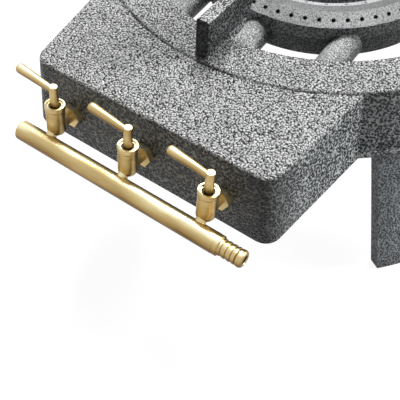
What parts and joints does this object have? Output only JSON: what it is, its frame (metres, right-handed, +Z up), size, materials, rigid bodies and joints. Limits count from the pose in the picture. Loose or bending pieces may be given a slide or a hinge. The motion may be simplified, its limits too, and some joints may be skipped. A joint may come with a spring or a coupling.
{
  "type": "gas burner",
  "caption": "Low cast iron gas burner on legs: a round pan ring with a square hood, concentric ported burner rings, and a brass manifold with lever taps across the front.",
  "frame": {"origin": "on the floor, at the middle of the bounding box's base", "axes": "+Z up, -Y towards the taps, +X towards the hose barb"},
  "size_m": [0.3776, 0.4692, 0.2165],
  "materials": {
    "hammered_enamel": "hammered grey enamel over cast iron",
    "burner_iron": "grey enamel over cast iron",
    "zinc_steel": "zinc plated",
    "spring_steel": "satin",
    "brass": "satin"
  },
  "bodies": {
    "stand": {"frame_casting": "hammered_enamel", "leg_front_right": "hammered_enamel", "leg_front_left": "hammered_enamel", "leg_rear_right": "hammered_enamel", "leg_rear_left": "hammered_enamel", "leg_bolt_front_right_a": "zinc_steel", "leg_bolt_front_right_b": "zinc_steel", "leg_bolt_front_left_a": "zinc_steel", "leg_bolt_front_left_b": "zinc_steel", "leg_bolt_rear_right_a": "zinc_steel", "leg_bolt_rear_right_b": "zinc_steel", "leg_bolt_rear_left_a": "zinc_steel", "leg_bolt_rear_left_b": "zinc_steel", "burner_base": "burner_iron", "burner_bolt_right": "zinc_steel", "burner_bolt_left": "zinc_steel", "tube_strap": "zinc_steel", "strap_bolt_right": "zinc_steel", "strap_bolt_left": "zinc_steel", "outer_burner_head": "burner_iron", "middle_burner_head": "burner_iron", "centre_burner_head": "burner_iron", "manifold_pipe": "brass", "manifold_end_plug": "brass", "hose_barb": "brass", "tap_left_body": "brass", "tap_left_spring": "spring_steel", "tap_left_washer": "spring_steel", "tap_left_clip": "spring_steel", "tap_left_locknut": "brass", "tap_left_jet": "brass", "tap_middle_body": "brass", "tap_middle_spring": "spring_steel", "tap_middle_washer": "spring_steel", "tap_middle_clip": "spring_steel", "tap_middle_locknut": "brass", "tap_middle_jet": "brass", "tap_right_body": "brass", "tap_right_spring": "spring_steel", "tap_right_washer": "spring_steel", "tap_right_clip": "spring_steel", "tap_right_locknut": "brass", "tap_right_jet": "brass"},
    "tap_left_key": {"tap_left_plug": "brass", "tap_left_lever": "brass"},
    "tap_middle_key": {"tap_middle_plug": "brass", "tap_middle_lever": "brass"},
    "tap_right_key": {"tap_right_plug": "brass", "tap_right_lever": "brass"}
  },
  "joints": [
    {"name": "tap_left_turn", "type": "hinge", "parent": "stand", "child": "tap_left_key", "pos_m": [-0.063, -0.21487, 0.1574], "axis": [0, 0.1908, 0.9816], "range_deg": [0, 90]},
    {"name": "tap_middle_turn", "type": "hinge", "parent": "stand", "child": "tap_middle_key", "pos_m": [0, -0.21487, 0.1574], "axis": [0, 0.1908, 0.9816], "range_deg": [0, 90]},
    {"name": "tap_right_turn", "type": "hinge", "parent": "stand", "child": "tap_right_key", "pos_m": [0.063, -0.21487, 0.1574], "axis": [0, 0.1908, 0.9816], "range_deg": [0, 90]}
  ]
}
